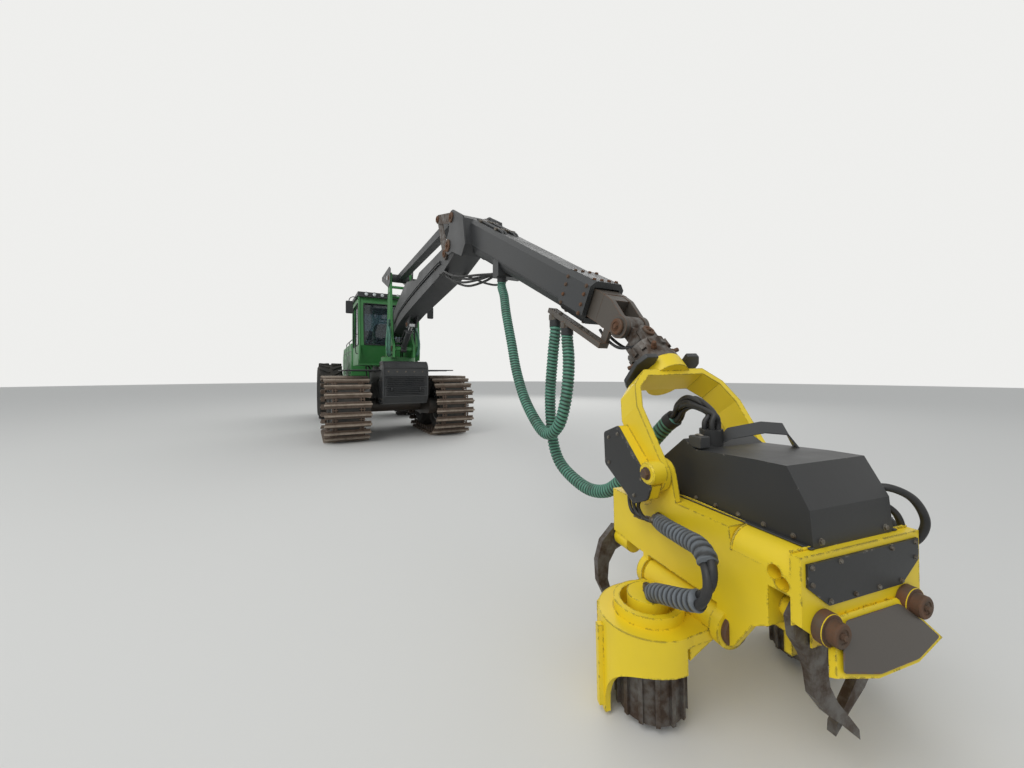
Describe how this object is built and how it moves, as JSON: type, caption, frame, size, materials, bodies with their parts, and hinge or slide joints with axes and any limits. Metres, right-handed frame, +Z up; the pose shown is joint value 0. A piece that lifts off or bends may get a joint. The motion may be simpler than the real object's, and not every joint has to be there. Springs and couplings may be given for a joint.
{
  "type": "six-wheeled forestry harvester",
  "caption": "Forestry harvester with tracked front bogies, two large rear tyres, a turning cab and a jointed crane that carries a felling and delimbing head",
  "frame": {"origin": "on the ground, under the middle of the whole machine with its crane reaching ahead", "axes": "+X forward along the machine and its crane, +Y to its left, +Z up"},
  "size_m": [15.1513, 3.15, 3.8316],
  "materials": {
    "dark_paint": "semi-gloss",
    "machine_green": "gloss",
    "crane_grey": "worn semi-gloss",
    "head_yellow": "gloss, worn",
    "worn_steel": "worn",
    "rod_chrome": "polished",
    "tyre_rubber": "matt",
    "rim_grey": "semi-gloss",
    "track_steel": "rusty, worn",
    "window_glass": "tinted",
    "seat_fabric": "woven",
    "lamp_lens": "clear",
    "hose_sheath": "spiral",
    "engine_iron": "cast"
  },
  "bodies": {
    "front_frame": {"front_frame": "dark_paint", "front_guard": "dark_paint"},
    "bogie_left": {"bogie_case_left": "dark_paint", "bogie_rims_left": "rim_grey", "bogie_tyres_left": "tyre_rubber", "track_left": "track_steel"},
    "bogie_right": {"bogie_case_right": "dark_paint", "bogie_rims_right": "rim_grey", "bogie_tyres_right": "tyre_rubber", "track_right": "track_steel"},
    "rear_frame": {"rear_frame": "dark_paint", "engine_block": "engine_iron", "rear_bumper": "dark_paint"},
    "hood": {"engine_hood": "machine_green", "radiator_grille": "dark_paint"},
    "rear_wheel_left": {"rear_rim_left": "rim_grey", "rear_tyre_left": "tyre_rubber"},
    "rear_wheel_right": {"rear_rim_right": "rim_grey", "rear_tyre_right": "tyre_rubber"},
    "steer_barrel_left": {"steer_barrel_left": "dark_paint"},
    "steer_barrel_right": {"steer_barrel_right": "dark_paint"},
    "steer_rod_left": {"steer_rod_left": "rod_chrome"},
    "steer_rod_right": {"steer_rod_right": "rod_chrome"},
    "cab": {"cab_base": "machine_green", "cab_shell": "machine_green", "cab_roof": "dark_paint", "cab_panes": "window_glass", "cab_seat": "seat_fabric", "roof_lamps": "lamp_lens"},
    "cab_door": {"cab_door": "machine_green", "door_pane": "window_glass"},
    "crane_pillar": {"crane_pillar": "machine_green", "bar_guard_plate": "dark_paint"},
    "main_boom": {"main_boom": "crane_grey"},
    "lift_barrel": {"lift_barrel": "dark_paint"},
    "lift_rod": {"lift_rod": "rod_chrome"},
    "link_bar": {"link_bar": "crane_grey"},
    "knee_rocker": {"knee_rocker": "worn_steel"},
    "knee_link": {"knee_link": "worn_steel"},
    "outer_boom": {"outer_boom": "crane_grey", "hose_loop": "hose_sheath"},
    "extension": {"extension_arm": "worn_steel", "hose_head": "hose_sheath"},
    "tip_link": {"tip_link": "worn_steel"},
    "rotator": {"rotator_housing": "worn_steel"},
    "tilt_hoop": {"tilt_hoop": "head_yellow"},
    "head": {"head_frame": "head_yellow", "head_hood": "dark_paint", "saw_box": "head_yellow"},
    "feed_arm_left": {"feed_arm_left": "head_yellow"},
    "feed_roller_left": {"feed_roller_left": "worn_steel"},
    "front_knife_left": {"front_knife_left": "worn_steel"},
    "rear_knife_left": {"rear_knife_left": "worn_steel"},
    "feed_arm_right": {"feed_arm_right": "head_yellow"},
    "feed_roller_right": {"feed_roller_right": "worn_steel"},
    "front_knife_right": {"front_knife_right": "worn_steel"},
    "rear_knife_right": {"rear_knife_right": "worn_steel"}
  },
  "joints": [
    {"name": "bogie_swing_left", "type": "hinge", "parent": "front_frame", "child": "bogie_left", "pos_m": [-1.64, 0, 0.698], "axis": [0, 1, 0], "range_deg": [-12, 12]},
    {"name": "bogie_swing_right", "type": "hinge", "parent": "front_frame", "child": "bogie_right", "pos_m": [-1.64, 0, 0.698], "axis": [0, 1, 0], "range_deg": [-12, 12]},
    {"name": "frame_steer", "type": "hinge", "parent": "front_frame", "child": "rear_frame", "pos_m": [-3.39, 0, 1.15], "axis": [0, 0, -1], "range_deg": [-40, 40]},
    {"name": "rear_wheel_turn_left", "type": "hinge", "parent": "rear_frame", "child": "rear_wheel_left", "pos_m": [-5.64, 0, 0.89], "axis": [0, 1, 0], "continuous": true},
    {"name": "steer_barrel_turn_left", "type": "hinge", "parent": "front_frame", "child": "steer_barrel_left", "pos_m": [-2.34, 0.54, 1.13], "axis": [0, 0, 1], "range_deg": [-30, 30]},
    {"name": "steer_rod_slide_left", "type": "slide", "parent": "steer_barrel_left", "child": "steer_rod_left", "axis": [-0.9978, -0.0665, 0], "range_m": [-0.38, 0.38]},
    {"name": "rear_wheel_turn_right", "type": "hinge", "parent": "rear_frame", "child": "rear_wheel_right", "pos_m": [-5.64, 0, 0.89], "axis": [0, 1, 0], "continuous": true},
    {"name": "steer_barrel_turn_right", "type": "hinge", "parent": "front_frame", "child": "steer_barrel_right", "pos_m": [-2.34, -0.54, 1.13], "axis": [0, 0, 1], "range_deg": [-30, 30]},
    {"name": "steer_rod_slide_right", "type": "slide", "parent": "steer_barrel_right", "child": "steer_rod_right", "axis": [-0.9978, 0.0665, 0], "range_m": [-0.38, 0.38]},
    {"name": "hood_lift", "type": "hinge", "parent": "rear_frame", "child": "hood", "pos_m": [-7.468, 0, 1.322], "axis": [0, -1, 0], "range_deg": [0, 45]},
    {"name": "cab_turn", "type": "hinge", "parent": "front_frame", "child": "cab", "pos_m": [-2.72, 0, 1.62], "axis": [0, 0, 1], "range_deg": [-80, 80]},
    {"name": "door_swing", "type": "hinge", "parent": "cab", "child": "cab_door", "pos_m": [-3.352, 0.755, 2.5], "axis": [0, 0, 1], "range_deg": [0, 95]},
    {"name": "crane_slew", "type": "hinge", "parent": "front_frame", "child": "crane_pillar", "pos_m": [-1.04, 0, 1.7], "axis": [0, 0, 1], "range_deg": [-110, 110]},
    {"name": "boom_lift", "type": "hinge", "parent": "crane_pillar", "child": "main_boom", "pos_m": [-0.84, 0, 2.485], "axis": [0, -1, 0], "range_deg": [-10, 40]},
    {"name": "lift_barrel_turn", "type": "hinge", "parent": "crane_pillar", "child": "lift_barrel", "pos_m": [-0.51, 0, 1.99], "axis": [0, -1, 0], "range_deg": [-15, 50]},
    {"name": "lift_rod_slide", "type": "slide", "parent": "lift_barrel", "child": "lift_rod", "axis": [0.8634, 0, 0.5046], "range_m": [-0.15, 0.5]},
    {"name": "link_bar_turn", "type": "hinge", "parent": "crane_pillar", "child": "link_bar", "pos_m": [-0.84, 0, 3.6], "axis": [0, -1, 0], "range_deg": [-20, 60]},
    {"name": "rocker_turn", "type": "hinge", "parent": "main_boom", "child": "knee_rocker", "pos_m": [3.03, 0, 3.085], "axis": [0, -1, 0], "range_deg": [-85, 35]},
    {"name": "jib_fold", "type": "hinge", "parent": "main_boom", "child": "outer_boom", "pos_m": [3.32, 0, 3.1], "axis": [0, 1, 0], "range_deg": [-30, 50]},
    {"name": "knee_link_turn", "type": "hinge", "parent": "outer_boom", "child": "knee_link", "pos_m": [3.45, 0, 3.42], "axis": [0, -1, 0], "range_deg": [-60, 80]},
    {"name": "boom_extend", "type": "slide", "parent": "outer_boom", "child": "extension", "axis": [-0.8829, 0, 0.4695], "range_m": [-1.2, 0.1], "deforming": ["hose_loop"]},
    {"name": "tip_swing", "type": "hinge", "parent": "extension", "child": "tip_link", "pos_m": [6.225, 0, 1.756], "axis": [0, 1, 0], "range_deg": [-20, 60], "deforming": ["hose_head"]},
    {"name": "side_swing", "type": "hinge", "parent": "tip_link", "child": "rotator", "pos_m": [6.31878, 0, 1.65889], "axis": [0.7193, 0, 0.6947], "range_deg": [-14, 26]},
    {"name": "rotator_turn", "type": "hinge", "parent": "rotator", "child": "tilt_hoop", "pos_m": [6.49149, -0.02613, 1.48004], "axis": [0.6909, -0.1045, -0.7154], "range_deg": [-170, 170]},
    {"name": "head_tilt", "type": "hinge", "parent": "tilt_hoop", "child": "head", "pos_m": [6.84822, -0.07734, 0.98805], "axis": [0.172, 0.9848, 0.0222], "range_deg": [-75, 15]},
    {"name": "feed_arm_swing_left", "type": "hinge", "parent": "head", "child": "feed_arm_left", "pos_m": [6.79963, 0.20901, 0.46347], "axis": [0.9851, -0.1722, 0.0054], "range_deg": [-30, 25]},
    {"name": "feed_roller_turn_left", "type": "hinge", "parent": "feed_arm_left", "child": "feed_roller_left", "pos_m": [7.0446, 0.38305, 0.21429], "axis": [-0.0091, -0.021, 0.9997], "continuous": true},
    {"name": "front_knife_swing_left", "type": "hinge", "parent": "head", "child": "front_knife_left", "pos_m": [7.44898, 0.03857, 0.65088], "axis": [0.9851, -0.1722, 0.0054], "range_deg": [-25, 30]},
    {"name": "rear_knife_swing_left", "type": "hinge", "parent": "head", "child": "rear_knife_left", "pos_m": [6.46206, 0.25437, 0.52634], "axis": [0.9851, -0.1722, 0.0054], "range_deg": [-25, 30]},
    {"name": "feed_arm_swing_right", "type": "hinge", "parent": "head", "child": "feed_arm_right", "pos_m": [6.7095, -0.30705, 0.45182], "axis": [-0.9851, 0.1722, -0.0054], "range_deg": [-30, 25]},
    {"name": "feed_roller_turn_right", "type": "hinge", "parent": "feed_arm_right", "child": "feed_roller_right", "pos_m": [6.88291, -0.54271, 0.1934], "axis": [-0.0091, -0.021, 0.9997], "continuous": true},
    {"name": "front_knife_swing_right", "type": "hinge", "parent": "head", "child": "front_knife_right", "pos_m": [7.37673, -0.37507, 0.64155], "axis": [-0.9851, 0.1722, -0.0054], "range_deg": [-25, 30]},
    {"name": "rear_knife_swing_right", "type": "hinge", "parent": "head", "child": "rear_knife_right", "pos_m": [6.37605, -0.23805, 0.51524], "axis": [-0.9851, 0.1722, -0.0054], "range_deg": [-25, 30]}
  ],
  "couplings": [
    {"joint": "lift_barrel_turn", "follows": "boom_lift", "ratio": 0.90515},
    {"joint": "lift_rod_slide", "follows": "boom_lift", "m_per_rad": 0.57677},
    {"joint": "link_bar_turn", "follows": "boom_lift", "ratio": 1.0569},
    {"joint": "rocker_turn", "follows": "boom_lift", "ratio": -1.8943},
    {"joint": "knee_link_turn", "follows": "jib_fold", "ratio": 0.8945},
    {"joint": "steer_barrel_turn_left", "follows": "frame_steer", "ratio": -0.18108},
    {"joint": "steer_barrel_turn_right", "follows": "frame_steer", "ratio": -0.18108},
    {"joint": "steer_rod_slide_left", "follows": "frame_steer", "m_per_rad": -0.45513},
    {"joint": "steer_rod_slide_right", "follows": "frame_steer", "m_per_rad": 0.45513}
  ]
}
